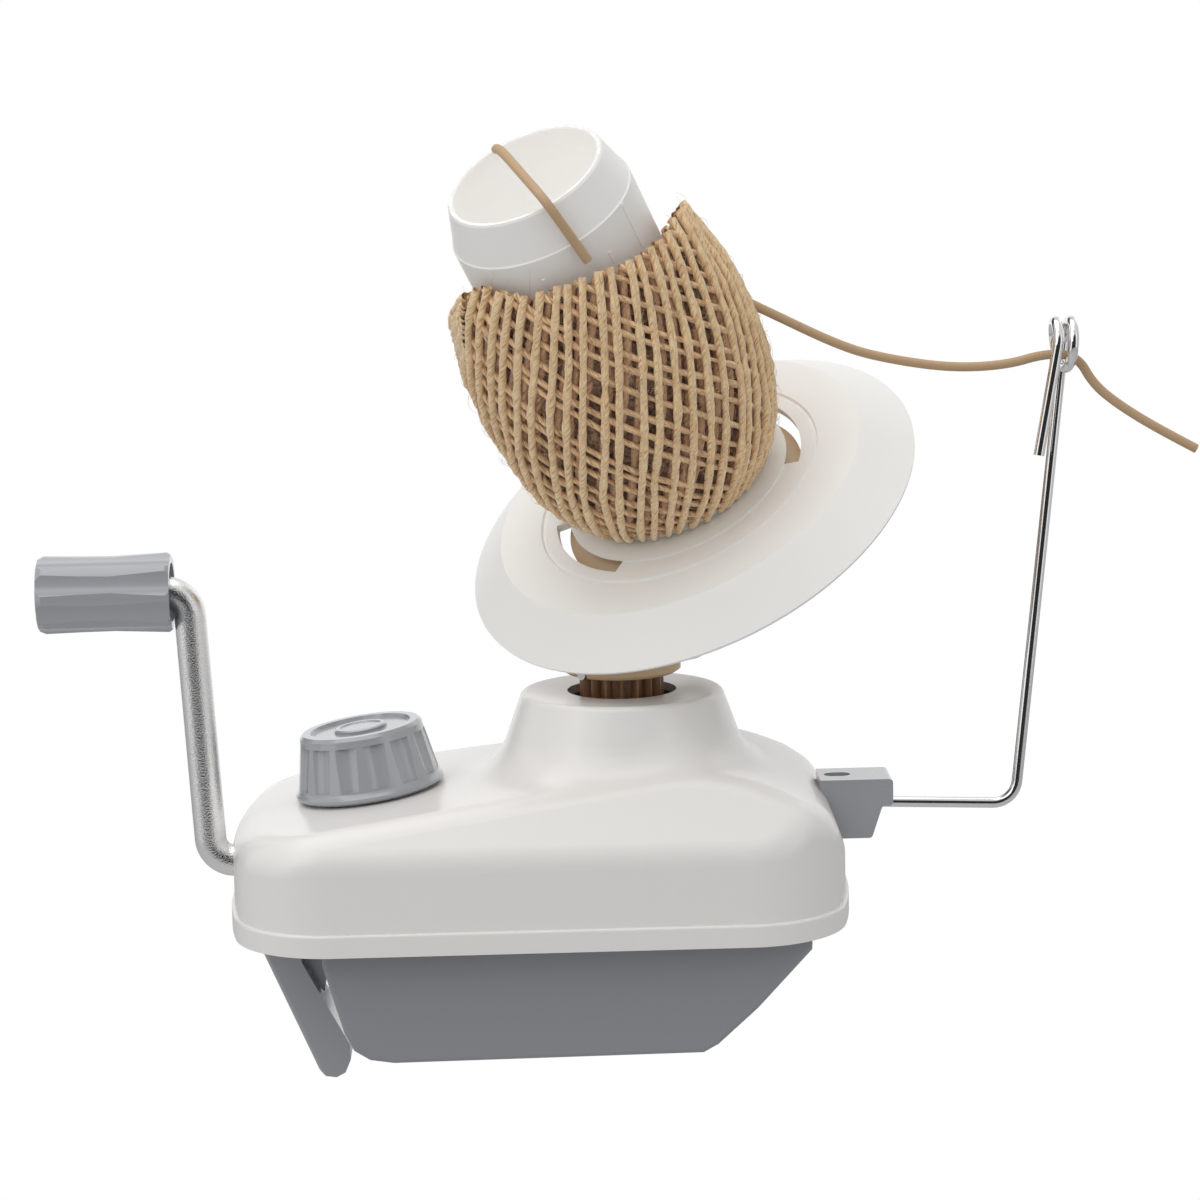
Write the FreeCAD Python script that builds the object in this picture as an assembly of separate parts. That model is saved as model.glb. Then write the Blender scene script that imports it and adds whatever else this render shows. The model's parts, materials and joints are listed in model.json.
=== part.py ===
"""Hand-cranked yarn cone winder with a table clamp.

Millimetres. +Z is up, +X points to the yarn guide and -Y to the front.
The origin is on the vertical winding axis, at the underside that sits on the table.
Every function makes one sub-part, and each is written to parts/NAME.step.
"""
import FreeCAD
import Part
import math
import os

V = FreeCAD.Vector
ORIGIN = V(0, 0, 0)
Y_AXIS = V(0, 1, 0)
Z_AXIS = V(0, 0, 1)

# ---- driving dimensions -------------------------------------------------------------
# housing
BODY_LEFT = -97.8            # left end of the wall, at mid depth
BODY_RIGHT = 54.8            # right end of the wall, at mid depth
BODY_HALF_DEPTH = 47.5
BODY_CORNER = 24.0           # plan corner radius
BODY_END_RADIUS = 150.0      # slow bulge of the two ends
WALL = 2.2
RIM_HEIGHT = 5.5             # flange round the foot of the wall
RIM_STEP = 0.8               # how far that flange stands out
DECK_TILT = 7.5              # degrees, the left deck rises towards the neck
DECK_Z = 30.3                # deck height at the clamp knob
RIGHT_FALL = 26.0            # degrees, the top falls from the neck to the guide
CREST_RADIUS = 60.0
SLOPE_FOOT_X = 49.5          # lower end of the falling side
SLOPE_FOOT_Z = 29.0
WALL_TOP_Z = 23.0            # where the front and back walls turn inwards
SHOULDER_SLOPE = 50.0
SHOULDER_RADIUS = 9.0
NECK_TOP_Z = 54.6
NECK_TOP_R = 25.0
NECK_HOLE_R = 13.6
NECK_FOOT_R = 32.5
NECK_FOOT_Z = 33.0
NECK_FOOT_BLEND = 16.0
BASE_THICK = 2.4

# winding head: the tilted cone axis crosses the vertical axis at the apex
APEX_Z = 137.5
TILT = 34.6                  # degrees from vertical
LEAN = 228.0                 # degrees from +X, the way the cone leans
DISC_R = 60.0
DISC_BEVEL_R = 50.0
DISC_TOP_S = -41.2           # distances along the cone axis, from the apex
DISC_BEVEL_S = -42.1
DISC_EDGE_S = -50.2
DISC_THICK = 2.0
WINDOW_INNER_R = 25.2
WINDOW_OUTER_R = 33.2
WINDOW_SPAN = 58.0
WINDOW_STARTS = (-54.5, 110.5)
SPOOL_TOP_S = 55.9
SPOOL_TOP_R = 19.8
SPOOL_SHOULDER_S = 46.0
SPOOL_R = 23.2
SPOOL_FOOT_R = 29.3
SPOOL_WALL = 1.7
CUP_FLOOR_S = 29.0

# gears
SUN_TEETH = 13
RING_TEETH = 40
BEVEL_OUTER = 71.0           # cone distance from the apex to the outer tooth ends
BEVEL_FACE = 5.0
PINION_TEETH = 16
PINION_MODULE = 1.175
TRANSFER_TEETH = 41
CROWN_TEETH = 26
CRANK_TEETH = 20
CRANK_MODULE = 1.0
BACKLASH = 0.5

# crank
CRANK_Y = -12.0
CRANK_Z = 16.2
CRANK_ROD_R = 3.9
CRANK_ARM_X = -102.4
CRANK_ARM_SPLAY = 2.9        # degrees, the arm leans outwards
CRANK_THROW = 67.5
GRIP_LENGTH = 32.3
GRIP_R = 9.8
GRIP_LOBES = 8

# clamp
CLAMP_X = -63.3
SCREW_R = 3.9
LEG_HALF_WIDTH = 7.5

# yarn guide
HOLDER_HALF_WIDTH = 7.3
WIRE_R = 1.35
EYE_R = 5.7
EYE_STEP = 2.0

# yarn
YARN_R = 1.15

RUNNING = 0.06               # radial clearance of a shaft that turns in a bore

# ---- places that follow from them, and the finer ones --------------------------------
CROWN_ROOT_Z = 5.0           # under the crown teeth of the transfer gear
MESH_ANGLE = 201.0           # degrees from +X to the transfer gear's axis
MESH_DISTANCE = (PINION_TEETH + TRANSFER_TEETH) * PINION_MODULE / 2
TRANSFER_CENTRE = V(MESH_DISTANCE * math.cos(math.radians(MESH_ANGLE)),
                    MESH_DISTANCE * math.sin(math.radians(MESH_ANGLE)), 0)
SCREW_PLACES = ((-82.0, -34.0), (-82.0, 34.0), (40.0, -33.0), (40.0, 33.0))
ARM_R = 2.4                  # the cranked spindle
ARM_Z = 60.4
ARM_ELBOW = 76.0
SPINDLE_TOP = 33.5
GRIP_Z = CRANK_Z + CRANK_THROW
GRIP_AXIS_X = CRANK_ARM_X - CRANK_THROW * math.tan(math.radians(CRANK_ARM_SPLAY))
GRIP_RIGHT_X = -109.7
EYE_X = 110.5
EYE_Z = 138.1
WIRE_START = V(54.0, 0, 24.5)
WIRE_CORNER = V(98.2, 0, 22.9)
SCREW_TIP = -67.4
NUT_TOP = -34.2
JAW_HALF_DEPTH = 39.0
KNOB_FLUTES = 14
# shallow ribs on the spool: angle, start and end along the cone axis
SPOOL_RIBS = ((31.5, 38.6, 40.5), (74.0, 35.6, 38.5), (98.0, 33.0, 45.4))
# the wound yarn's slanting top as seen from the front: across and along the cone axis
BALL_RIM = ((-44, 8), (-36.4, 20.0), (-32.6, 27.0), (-30.2, 31.0), (-26.8, 33.6), (-23.1, 34.8),
            (-19.8, 34.2), (-16.4, 30.4), (-12.2, 27.3), (-6.9, 25.8), (3.1, 24.4), (10.1, 23.4),
            (15.1, 23.5), (20.4, 24.3), (24.1, 25.8), (27.6, 28.4), (32.1, 31.4), (44, 38))
BALL_FRONT = 48.3            # degrees round the cone from downhill to the front
BALL_RIM_FALL = 28.8         # degrees, how steeply the top falls to the back


# ---- helpers ------------------------------------------------------------------------
def rod(radius, start, end):
    """A round bar between two points."""
    axis = end - start
    return Part.makeCylinder(radius, axis.Length, start, axis)


def box(low, high):
    """A box from its lowest to its highest corner."""
    return Part.makeBox(high[0] - low[0], high[1] - low[1], high[2] - low[2], V(*low))


def polygon_face(points):
    """A flat face inside a closed polygon."""
    return Part.Face(Part.makePolygon(points + [points[0]]))


def turned(profile):
    """A solid of revolution about Z from (radius, height) corners."""
    return polygon_face([V(r, 0, z) for r, z in profile]).revolve(ORIGIN, Z_AXIS, 360)


def side_prism(profile, half_width):
    """A prism along Y from (x, z) corners, centred on y = 0."""
    face = polygon_face([V(x, -half_width, z) for x, z in profile])
    return face.extrude(V(0, 2 * half_width, 0))


def arc(start, middle, end):
    """A circular arc edge through three points."""
    return Part.Arc(start, middle, end).toShape()


def bent_path(points, radii):
    """Straight runs through the points, joined by tangent arcs of the given radii."""
    edges = []
    last = points[0]
    for before, corner, after, radius in zip(points, points[1:], points[2:], radii):
        inward = (before - corner).normalize()
        outward = (after - corner).normalize()
        half = inward.getAngle(outward) / 2
        reach = radius / math.tan(half)
        middle = (inward + outward).normalize() * (radius / math.sin(half) - radius)
        edges.append(Part.LineSegment(last, corner + inward * reach).toShape())
        edges.append(arc(corner + inward * reach, corner + middle, corner + outward * reach))
        last = corner + outward * reach
    edges.append(Part.LineSegment(last, points[-1]).toShape())
    return edges


def swept(edges, radius):
    """A round bar along a chain of edges."""
    path = Part.Wire(edges)
    start = path.OrderedVertexes[0].Point
    heading = path.OrderedEdges[0].tangentAt(path.OrderedEdges[0].FirstParameter)
    circle = Part.Wire(Part.Circle(start, heading, radius).toShape())
    return path.makePipeShell([circle], True, False)


def cord(name, points, radius):
    """A cord through hand-picked points, each arc as large as its two runs allow."""
    radii = []
    for before, corner, after in zip(points, points[1:], points[2:]):
        turn = (corner - before).getAngle(after - corner)
        shorter = min((corner - before).Length, (after - corner).Length)
        radii.append(0.45 * shorter / math.tan(turn / 2))
    edges = bent_path(points, radii)
    tube = swept(edges, radius)
    length = sum(edge.Length for edge in edges)
    print(name, "length", round(length, 1), "radii", [round(r, 1) for r in radii],
          "volume share", round(tube.Volume / (math.pi * radius ** 2 * length), 4))
    return tube


def on_cone(shape):
    """Moves a shape from the cone's own frame (Z along its axis, apex at 0) into place."""
    placed = shape.copy()
    placed.rotate(ORIGIN, Y_AXIS, TILT)
    placed.rotate(ORIGIN, Z_AXIS, LEAN)
    placed.translate(V(0, 0, APEX_Z))
    return placed


def cone_point(radius, angle, along):
    """A world point from the cone's radius, angle in degrees and distance along its axis."""
    turn = FreeCAD.Rotation(Z_AXIS, LEAN).multiply(FreeCAD.Rotation(Y_AXIS, TILT))
    a = math.radians(angle)
    return turn.multVec(V(radius * math.cos(a), radius * math.sin(a), along)) + V(0, 0, APEX_Z)


def in_lean_plane(shape):
    """Turns a shape drawn in the XZ plane so that its +X is the way the cone leans."""
    placed = shape.copy()
    placed.rotate(ORIGIN, Z_AXIS, LEAN)
    return placed


def on_clamp_axis(shape):
    """Moves a shape drawn along +Z to the clamp screw's tilted axis, z = 0 at the deck."""
    placed = shape.copy()
    placed.rotate(ORIGIN, Y_AXIS, -DECK_TILT)
    placed.translate(V(CLAMP_X, 0, DECK_Z))
    return placed


def involute(angle):
    return math.tan(angle) - angle


def tooth_flank(pitch_r, module, steps=3):
    """(radius, half angle) pairs up one flank of a 20 degree involute tooth."""
    pressure = math.radians(20)
    base_r = pitch_r * math.cos(pressure)
    root_r = pitch_r - 1.2 * module
    tip_r = pitch_r + 0.9 * module
    half = (math.pi * module / 2 - BACKLASH) / 2 / pitch_r
    low_r = max(root_r, base_r)
    flank = [(root_r, half + involute(pressure))] if root_r < base_r else []
    for i in range(steps + 1):
        r = low_r + (tip_r - low_r) * i / steps
        lean = involute(math.acos(min(1.0, base_r / r)))
        flank.append((r, half + involute(pressure) - lean))
    return flank


def spur_gear(teeth, module, thickness, phase=0.0):
    """A toothed disc on z = 0 .. thickness; phase in teeth turns the first tooth from +X."""
    flank = tooth_flank(teeth * module / 2, module)
    points = []
    for i in range(teeth):
        centre = (i + phase) * 2 * math.pi / teeth
        for r, a in flank:
            points.append(V(r * math.cos(centre - a), r * math.sin(centre - a), 0))
        for r, a in reversed(flank):
            points.append(V(r * math.cos(centre + a), r * math.sin(centre + a), 0))
    return polygon_face(points).extrude(V(0, 0, thickness))


def bevel_angles():
    """Half angles of the two pitch cones, which add up to the tilt."""
    tilt = math.radians(TILT)
    sun = math.atan2(math.sin(tilt), RING_TEETH / SUN_TEETH + math.cos(tilt))
    return sun, tilt - sun


def bevel_gear(teeth, half_angle, phase, blank):
    """Bevel teeth under the apex at 0, pointing away from the Z axis, on a turned blank."""
    pitch_r = BEVEL_OUTER * math.sin(half_angle)
    module = 2 * pitch_r / teeth
    virtual_r = pitch_r / math.cos(half_angle)
    flank = [(r - virtual_r, r * math.sin(a)) for r, a in tooth_flank(virtual_r, module, 2)]
    flank[0] = (flank[0][0] - 0.5, flank[0][1])
    outline = [(up, -side) for up, side in flank] + [(up, side) for up, side in reversed(flank)]
    shrink = 1 - BEVEL_FACE / BEVEL_OUTER
    sin_d = math.sin(half_angle)
    cos_d = math.cos(half_angle)
    big = [V(pitch_r + up * cos_d, side, -BEVEL_OUTER * cos_d + up * sin_d)
           for up, side in outline]
    small = [p * shrink for p in big]
    ends = [Part.makePolygon(ring + [ring[0]]) for ring in (big, small)]
    tooth = Part.makeLoft(ends, True, True)
    solids = []
    for i in range(teeth):
        copy = tooth.copy()
        copy.rotate(ORIGIN, Z_AXIS, (i + phase) * 360 / teeth)
        solids.append(copy)
    return blank.multiFuse(solids).removeSplitter()


def bevel_root(half_angle, teeth, distance):
    """(radius, height) of the tooth root at a cone distance from the apex."""
    module = 2 * BEVEL_OUTER * math.sin(half_angle) / teeth
    drop = 1.2 * module * distance / BEVEL_OUTER
    return (distance * math.sin(half_angle) - drop * math.cos(half_angle),
            -distance * math.cos(half_angle) - drop * math.sin(half_angle))


# ---- housing ------------------------------------------------------------------------
def plan_face(inset):
    """The body's plan: straight front and back, round corners, slightly bulged ends."""
    depth = BODY_HALF_DEPTH - inset
    corner = BODY_CORNER - inset
    end_r = BODY_END_RADIUS - inset
    reach = math.sqrt((end_r - corner) ** 2 - (depth - corner) ** 2)
    slope = math.atan2(depth - corner, reach)
    bend = slope + (math.radians(90) - slope) / 2
    edges = []
    flats = []
    for side, end_x in ((1, BODY_RIGHT - inset), (-1, BODY_LEFT + inset)):
        centre_x = end_x - side * end_r
        corner_x = centre_x + side * reach
        low = V(centre_x + side * end_r * math.cos(slope), -end_r * math.sin(slope), 0)
        high = V(low.x, -low.y, 0)
        middle_x = corner_x + side * corner * math.cos(bend)
        middle_y = depth - corner + corner * math.sin(bend)
        front = V(corner_x, -depth, 0)
        back = V(corner_x, depth, 0)
        edges.append(arc(front, V(middle_x, -middle_y, 0), low))
        edges.append(arc(low, V(end_x, 0, 0), high))
        edges.append(arc(high, V(middle_x, middle_y, 0), back))
        flats.append((front, back))
    for (right, left) in zip(flats[0], flats[1]):
        edges.append(Part.LineSegment(left, right).toShape())
    return Part.Face(Part.Wire(Part.__sortEdges__(edges)))


def top_profile(inset):
    """Side view of the body: sloping deck, round crest, falling right shoulder."""
    rise = math.tan(math.radians(DECK_TILT))
    fall = math.tan(math.radians(RIGHT_FALL))
    left_x = BODY_LEFT - 5
    shoulder_x = SLOPE_FOOT_X - inset
    left_z = DECK_Z - inset + (left_x - CLAMP_X) * rise
    shoulder_z = SLOPE_FOOT_Z - inset
    crest_x = (shoulder_z + fall * shoulder_x - left_z + rise * left_x) / (rise + fall)
    crest_z = left_z + (crest_x - left_x) * rise
    half_width = BODY_HALF_DEPTH + 5
    corners = [V(left_x, -half_width, left_z), V(crest_x, -half_width, crest_z),
               V(shoulder_x, -half_width, shoulder_z)]
    edges = bent_path(corners, [CREST_RADIUS])
    outline = [corners[2], V(BODY_RIGHT + 1 - inset, -half_width, 12),
               V(BODY_RIGHT + 9, -half_width, 12), V(BODY_RIGHT + 9, -half_width, -1),
               V(left_x, -half_width, -1), corners[0]]
    for start, end in zip(outline, outline[1:]):
        edges.append(Part.LineSegment(start, end).toShape())
    return Part.Face(Part.Wire(edges)).extrude(V(0, 2 * half_width, 0))


def shoulder_form(inset):
    """The walls with the slopes above them that lean in towards the top."""
    slope = math.radians(SHOULDER_SLOPE)
    depth = BODY_HALF_DEPTH - inset
    turn_z = WALL_TOP_Z + inset * (math.tan(slope) - 1 / math.cos(slope))
    high = 60.0
    run = (high - turn_z) / math.tan(slope)
    low_z = turn_z - math.tan(slope)
    outline = [(-depth - 1, -2), (-depth - 1, low_z), (-depth + run, high), (depth - run, high),
               (depth + 1, low_z), (depth + 1, -2)]
    return polygon_face([V(-110, y, z) for y, z in outline]).extrude(V(200, 0, 0))


def neck(inset):
    """The neck's waisted side, from inside the top up to its flat rim."""
    top = NECK_TOP_Z - inset
    rim = V(NECK_TOP_R - inset, 0, top)
    foot = V(NECK_FOOT_R - inset, 0, NECK_FOOT_Z)
    corners = [foot, V(foot.x, 0, 20), V(0, 0, 20), V(0, 0, top), rim]
    edges = [arc(rim, V(28.1 - inset, 0, 46.0), foot)]
    for start, end in zip(corners, corners[1:]):
        edges.append(Part.LineSegment(start, end).toShape())
    return Part.Face(Part.Wire(edges)).revolve(ORIGIN, Z_AXIS, 360)


def shoulder_edges(block):
    """The edges between the walls and the top of the body."""
    return [e for e in block.Edges if e.BoundBox.ZMin > 12.5 and e.BoundBox.ZMax < 45]


def foot_edges(form):
    """The edges where the neck stands on the top."""
    found = []
    for edge in form.Edges:
        middle = edge.valueAt((edge.FirstParameter + edge.LastParameter) / 2)
        points = [v.Point for v in edge.Vertexes] + [middle]
        radii = [math.hypot(point.x, point.y) for point in points]
        if min(radii) > 28 and max(radii) < NECK_FOOT_R + 0.2:
            if edge.BoundBox.ZMin > 28 and edge.BoundBox.ZMax < 46:
                found.append(edge)
    return found


def body_form(inset):
    """The body's outer form, or its cavity when inset."""
    start = V(0, 0, -1 if inset else 0)
    block = plan_face(inset).extrude(V(0, 0, 60))
    block.translate(start)
    block = block.common(top_profile(inset)).common(shoulder_form(inset))
    block = block.makeFillet(SHOULDER_RADIUS - inset, shoulder_edges(block))
    form = block.fuse(neck(inset)).removeSplitter()
    if inset:
        return form
    form = form.makeFillet(NECK_FOOT_BLEND, foot_edges(form))
    rim = [e for e in form.Edges
           if e.BoundBox.ZMin > NECK_TOP_Z - 0.1 and e.BoundBox.XLength > 2 * NECK_TOP_R - 1]
    return form.makeFillet(1.6, rim)


def holder_form():
    """The guide block's outer form, let into the right end of the body."""
    outline = [(48.8, 31.4), (66.9, 31.4), (66.9, 24.6), (64.2, 24.6), (61.5, 16.5),
               (46.5, 16.5), (46.5, 26.5), (48.8, 26.5)]
    return side_prism(outline, HOLDER_HALF_WIDTH)


def top_housing():
    shell = body_form(0)
    rim = plan_face(-RIM_STEP).extrude(V(0, 0, RIM_HEIGHT))
    shell = shell.fuse(rim.makeFillet(0.7, [e for e in rim.Edges
                                            if e.BoundBox.ZMin > RIM_HEIGHT - 0.1]))
    cavity = body_form(WALL)
    inside = []
    crank_axis = V(0, CRANK_Y, CRANK_Z)
    inside.append(rod(8.5, crank_axis + V(-96.5, 0, 0), crank_axis + V(-88.5, 0, 0)))
    inside.append(rod(6.6, crank_axis + V(-39.2, 0, 0), crank_axis + V(-34.6, 0, 0)))
    inside.append(box((-38.2, CRANK_Y - 9, CRANK_Z), (-35.6, CRANK_Y + 9, 38)))
    inside.append(on_clamp_axis(rod(7.0, V(0, 0, -12), V(0, 0, -1))))
    for x, y in SCREW_PLACES:
        inside.append(rod(3.8, V(x, y, BASE_THICK), V(x, y, 33)))
    for x in (-20, 30):
        for side in (-1, 1):
            inside.append(box((x - 0.8, min(side * 43, side * 46), BASE_THICK + 0.1),
                              (x + 0.8, max(side * 43, side * 46), 28)))
    fittings = inside[0].multiFuse(inside[1:]).common(body_form(0))
    body = shell.cut(cavity).fuse(fittings)
    cuts = [rod(NECK_HOLE_R, V(0, 0, 45), V(0, 0, 60)), holder_form(),
            rod(4.6, crank_axis + V(-100, 0, 0), crank_axis + V(-80, 0, 0)),
            rod(6.0, crank_axis + V(-94.6, 0, 0), crank_axis + V(-80, 0, 0)),
            rod(5.2, crank_axis + V(-41, 0, 0), crank_axis + V(-30, 0, 0)),
            on_clamp_axis(rod(SCREW_R + RUNNING, V(0, 0, -20), V(0, 0, 5))),
            on_clamp_axis(rod(8.0, V(0, 0, -0.6), V(0, 0, 5)))]
    for x, y in SCREW_PLACES:
        cuts.append(rod(1.3, V(x, y, 0), V(x, y, 14)))
    return body.cut(cuts)


def base_plate():
    plate = plan_face(WALL + 0.15).extrude(V(0, 0, BASE_THICK))
    leg = side_prism([(-95.2, 0.4), (-78.3, -39.4), (-76.6, -41.1), (-73.9, -41.5),
                      (-71.6, -40.3), (-70.2, -37.0), (-70.3, -33), (-80.4, -14),
                      (-81.6, -11.6), (-81.9, -8), (-80.6, -3.5), (-79, 0.4)], LEG_HALF_WIDTH)
    leg = leg.makeFillet(1.2, [e for e in leg.Edges if e.BoundBox.YLength < 0.01
                               and e.Length > 30])
    web = side_prism([(-84, 0.4), (-84, -14), (-76.4, -20.5), (-75.3, -12), (-75.3, 0.4)], 2.5)
    plate = plate.fuse([leg, web])
    for x in (-12, 8, 28):
        plate = plate.fuse(box((x - 0.8, 16, 1), (x + 0.8, 40, 4.4)))
    plate = plate.fuse([rod(5.2, V(0, 0, 0), V(0, 0, BASE_THICK)),
                        rod(6.0, TRANSFER_CENTRE, TRANSFER_CENTRE + V(0, 0, BASE_THICK))])
    cuts = [on_clamp_axis(rod(4.6, V(0, 0, -40), V(0, 0, 0))),
            rod(3.0, V(0, 0, 0.4), V(0, 0, 9)),
            rod(2.5, TRANSFER_CENTRE + V(0, 0, 0.4), TRANSFER_CENTRE + V(0, 0, 9))]
    for x, y in SCREW_PLACES:
        cuts.append(rod(1.6, V(x, y, -1), V(x, y, 9)))
        cuts.append(rod(3.1, V(x, y, -1), V(x, y, 1.2)))
    return plate.cut(cuts).removeSplitter()


def housing_screws():
    """Four pan head screws that hold the base plate, their heads sunk in it."""
    screws = []
    for x, y in SCREW_PLACES:
        head = rod(2.8, V(x, y, 0.1), V(x, y, 1.2))
        slot = box((x - 2.2, y - 0.35, 0), (x + 2.2, y + 0.35, 0.6))
        cross = box((x - 0.35, y - 2.2, 0), (x + 0.35, y + 2.2, 0.6))
        shank = rod(1.3, V(x, y, 1.1), V(x, y, 13.5))
        screws.append(head.cut([slot, cross]).fuse(shank).removeSplitter())
    return Part.makeCompound(screws)


# ---- gear train ---------------------------------------------------------------------
def centre_post():
    return rod(3.0, V(0, 0, 0.4), V(0, 0, 69.8)).fuse(
        rod(4.6, V(0, 0, BASE_THICK), V(0, 0, 2.65))).cut(rod(1.2, V(0, 0, 60), V(0, 0, 70)))


def post_screw():
    head = rod(4.3, V(0, 0, 69.8), V(0, 0, 71.7))
    return head.cut(box((-4.5, -0.4, 71.1), (4.5, 0.4, 72))).fuse(
        rod(1.2, V(0, 0, 61), V(0, 0, 69.9))).removeSplitter()


def sun_gear():
    """The fixed bevel gear on the post, screwed down from above."""
    half = bevel_angles()[0]
    low_r, low_z = bevel_root(half, SUN_TEETH, BEVEL_OUTER)
    top_r, top_z = bevel_root(half, SUN_TEETH, BEVEL_OUTER - BEVEL_FACE)
    floor = 64.95 - APEX_Z
    seat = 69.8 - APEX_Z
    blank = turned([(3.0, floor), (6.0, floor), (low_r, low_z), (top_r, top_z),
                    (4.6, top_z), (4.6, seat), (3.0, seat)])
    gear = bevel_gear(SUN_TEETH, half, (LEAN - 180) * SUN_TEETH / 360, blank)
    gear.translate(V(0, 0, APEX_Z))
    return gear


def drive_pinion():
    """The long pinion round the post, with the collar that carries the cranked arm."""
    phase = MESH_ANGLE * PINION_TEETH / 360
    teeth = spur_gear(PINION_TEETH, PINION_MODULE, 59.4 - 2.7, phase)
    teeth.translate(V(0, 0, 2.7))
    collar = turned([(0, 59.2), (13.6, 59.2), (14.8, 60.0), (14.8, 63.6), (14.0, 64.5), (0, 64.5)])
    bore = rod(3.0 + RUNNING, V(0, 0, 0), V(0, 0, 70))
    socket = in_lean_plane(rod(ARM_R, V(-16, 0, ARM_Z), V(-5.5, 0, ARM_Z)))
    pin_hole = in_lean_plane(rod(1.25, V(5.5, 0, ARM_Z), V(16, 0, ARM_Z)))
    return teeth.fuse(collar).cut([bore, socket, pin_hole]).removeSplitter()


def arm_pin():
    """The steel pin whose end shows on the collar opposite the arm."""
    return in_lean_plane(rod(1.25, V(5.5, 0, ARM_Z), V(15.3, 0, ARM_Z)))


def spindle_arm():
    """The bent steel rod: out of the collar, up, and along the tilted cone axis."""
    tilt = math.radians(TILT)
    elbow = V(-ARM_ELBOW * math.sin(tilt), 0, APEX_Z - ARM_ELBOW * math.cos(tilt))
    top = V(SPINDLE_TOP * math.sin(tilt), 0, APEX_Z + SPINDLE_TOP * math.cos(tilt))
    points = [V(-5.5, 0, ARM_Z), V(-31.5, 0, ARM_Z), elbow, top]
    return in_lean_plane(swept(bent_path(points, [7.0, 5.0]), ARM_R))


def transfer_gear():
    """The flat gear beside the pinion, with crown teeth on top for the crank gear."""
    phase = (MESH_ANGLE + 180) * TRANSFER_TEETH / 360 + 0.5
    body = spur_gear(TRANSFER_TEETH, PINION_MODULE, CROWN_ROOT_Z - 2.5, phase)
    web = turned([(6.5, 1.7), (10.5, 1.7), (10.5, 4), (6.5, 4)])
    outer_web = turned([(16, 1.7), (21.3, 1.7), (21.3, 4), (16, 4)])
    body = body.cut([web, outer_web]).fuse(rod(5.0, V(0, 0, 0), V(0, 0, 5.7)))
    half_low = 1.06
    half_high = 0.42
    low, high = 11.9, 14.1
    teeth = []
    for i in range(CROWN_TEETH):
        ends = []
        for r in (low, high):
            share = r / 13.0
            ends.append(Part.makePolygon([V(r, y * share, z) for y, z in
                                          ((-half_low, -0.4), (-half_low, 0.15),
                                           (-half_high, 2.0), (half_high, 2.0),
                                           (half_low, 0.15), (half_low, -0.4),
                                           (-half_low, -0.4))]))
        tooth = Part.makeLoft(ends, True, True)
        tooth.translate(V(0, 0, CROWN_ROOT_Z - 2.5))
        tooth.rotate(ORIGIN, Z_AXIS, 180 + (i + 0.5) * 360 / CROWN_TEETH)
        teeth.append(tooth)
    body = body.multiFuse(teeth).cut(rod(2.5 + RUNNING, V(0, 0, -1), V(0, 0, 9)))
    body.translate(TRANSFER_CENTRE + V(0, 0, 2.5))
    return body.removeSplitter()


def transfer_pin():
    pin = rod(2.5, V(0, 0, 0.4), V(0, 0, 9.6))
    groove = turned([(1.9, 8.4), (3, 8.4), (3, 9.1), (1.9, 9.1)])
    pin = pin.cut(groove)
    pin.translate(TRANSFER_CENTRE)
    return pin


def transfer_clip():
    """The spring ring that keeps the flat gear on its pin."""
    ring = turned([(1.9, 8.4), (4.3, 8.4), (4.3, 9.1), (1.9, 9.1)])
    ring = ring.cut(box((0, -0.9, 8), (5, 0.9, 10)))
    ring.translate(TRANSFER_CENTRE)
    return ring


# ---- crank --------------------------------------------------------------------------
def crank_rod():
    """One bent steel rod: shaft, arm and the pin inside the grip."""
    points = [V(-34.2, CRANK_Y, CRANK_Z), V(CRANK_ARM_X, CRANK_Y, CRANK_Z),
              V(GRIP_AXIS_X, CRANK_Y, GRIP_Z), V(-138.4, CRANK_Y, GRIP_Z)]
    bar = swept(bent_path(points, [6.0, 6.0]), CRANK_ROD_R)
    groove = turned([(3.2, 0), (5, 0), (5, 1.2), (3.2, 1.2)])
    groove.rotate(ORIGIN, Y_AXIS, 90)
    groove.translate(V(-88.0, CRANK_Y, CRANK_Z))
    pin = rod(1.0, V(-44.27, CRANK_Y, CRANK_Z - 6.9), V(-44.27, CRANK_Y, CRANK_Z + 6.9))
    return bar.cut([groove, pin])


def crank_bushes():
    """The two plain bearings of the crank shaft, in the wall boss and in the inner web."""
    bushes = []
    for start, end, outer in ((-94.6, -88.3, 6.0), (-39.4, -34.5, 5.2)):
        bush = rod(outer, V(start, CRANK_Y, CRANK_Z), V(end, CRANK_Y, CRANK_Z))
        bore = rod(CRANK_ROD_R + RUNNING, V(start - 1, CRANK_Y, CRANK_Z), V(end + 1, CRANK_Y, CRANK_Z))
        bushes.append(bush.cut(bore))
    return Part.makeCompound(bushes)


def crank_clip():
    """The spring ring that stops the shaft sliding out."""
    ring = turned([(3.2, 0), (6.2, 0), (6.2, 1.2), (3.2, 1.2)])
    ring = ring.cut(box((0, -1.6, -1), (7, 1.6, 3)))
    ring.rotate(ORIGIN, Y_AXIS, 90)
    ring.translate(V(-88.0, CRANK_Y, CRANK_Z))
    return ring


def crank_gear():
    """The gear on the crank shaft that drives the crown teeth below it."""
    gear = spur_gear(CRANK_TEETH, CRANK_MODULE, 5.6)
    hub = rod(6.4, V(0, 0, 0), V(0, 0, 5.6))
    gear = gear.fuse(hub).cut(rod(CRANK_ROD_R, V(0, 0, -1), V(0, 0, 9)))
    gear.rotate(ORIGIN, Y_AXIS, 90)
    gear.translate(V(-47.07, CRANK_Y, CRANK_Z))
    pin = rod(1.0, V(-44.27, CRANK_Y, CRANK_Z - 6.9), V(-44.27, CRANK_Y, CRANK_Z + 6.9))
    return gear.cut(pin)


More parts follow.
